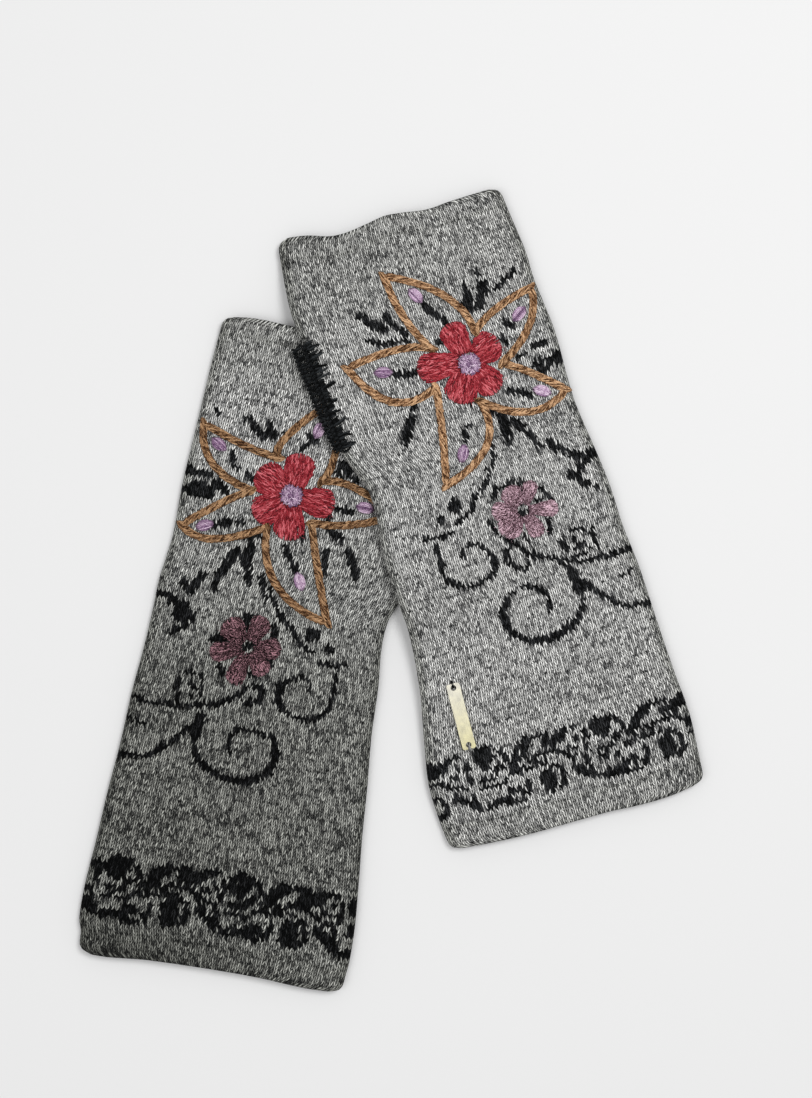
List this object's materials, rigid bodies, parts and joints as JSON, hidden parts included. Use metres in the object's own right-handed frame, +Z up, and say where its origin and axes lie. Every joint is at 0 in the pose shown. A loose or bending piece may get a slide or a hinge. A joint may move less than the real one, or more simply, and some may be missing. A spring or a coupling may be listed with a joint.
{
  "type": "pair of knitted wrist warmers",
  "caption": "Long knitted wrist warmers lying flat, one over the other, with a thumb slit in the side, embroidered flowers on the front and a small metal bar.",
  "frame": {"origin": "middle of the pair's outline, on the surface that it lies on", "axes": "+Z up from the surface, +Y from the forearm hems towards the knuckle hems, +X towards the upper warmer"},
  "size_m": [0.2491, 0.3213, 0.012],
  "materials": {
    "knit": "fine marled grey wool knit with black jacquard figures",
    "black_wool": "black crocheted wool edging, fuzzy",
    "red_wool": "crimson wool satin stitch",
    "plum_wool": "dusty plum wool satin stitch",
    "lilac_wool": "lilac wool satin stitch",
    "ochre_wool": "copper-brown wool chain stitch",
    "brass": "pale polished brass, bare",
    "grey_thread": "grey wool thread"
  },
  "bodies": {
    "root": {"left_tube": "knit", "left_thumb_edge_front": "black_wool", "left_thumb_edge_back": "black_wool", "left_red_flower": "red_wool", "left_flower_centre": "lilac_wool", "left_plum_flower": "plum_wool", "left_leaf_outline": "ochre_wool", "left_lilac_dot_1": "lilac_wool", "left_lilac_dot_2": "lilac_wool", "left_lilac_dot_3": "lilac_wool", "left_lilac_dot_4": "lilac_wool", "left_lilac_dot_5": "lilac_wool", "right_tube": "knit", "right_thumb_edge_front": "black_wool", "right_thumb_edge_back": "black_wool", "right_red_flower": "red_wool", "right_flower_centre": "lilac_wool", "right_plum_flower": "plum_wool", "right_leaf_outline": "ochre_wool", "right_lilac_dot_1": "lilac_wool", "right_lilac_dot_2": "lilac_wool", "right_lilac_dot_3": "lilac_wool", "right_lilac_dot_4": "lilac_wool", "right_lilac_dot_5": "lilac_wool", "brass_bar": "brass", "bar_tie_low": "grey_thread", "bar_tie_high": "black_wool"}
  },
  "joints": []
}
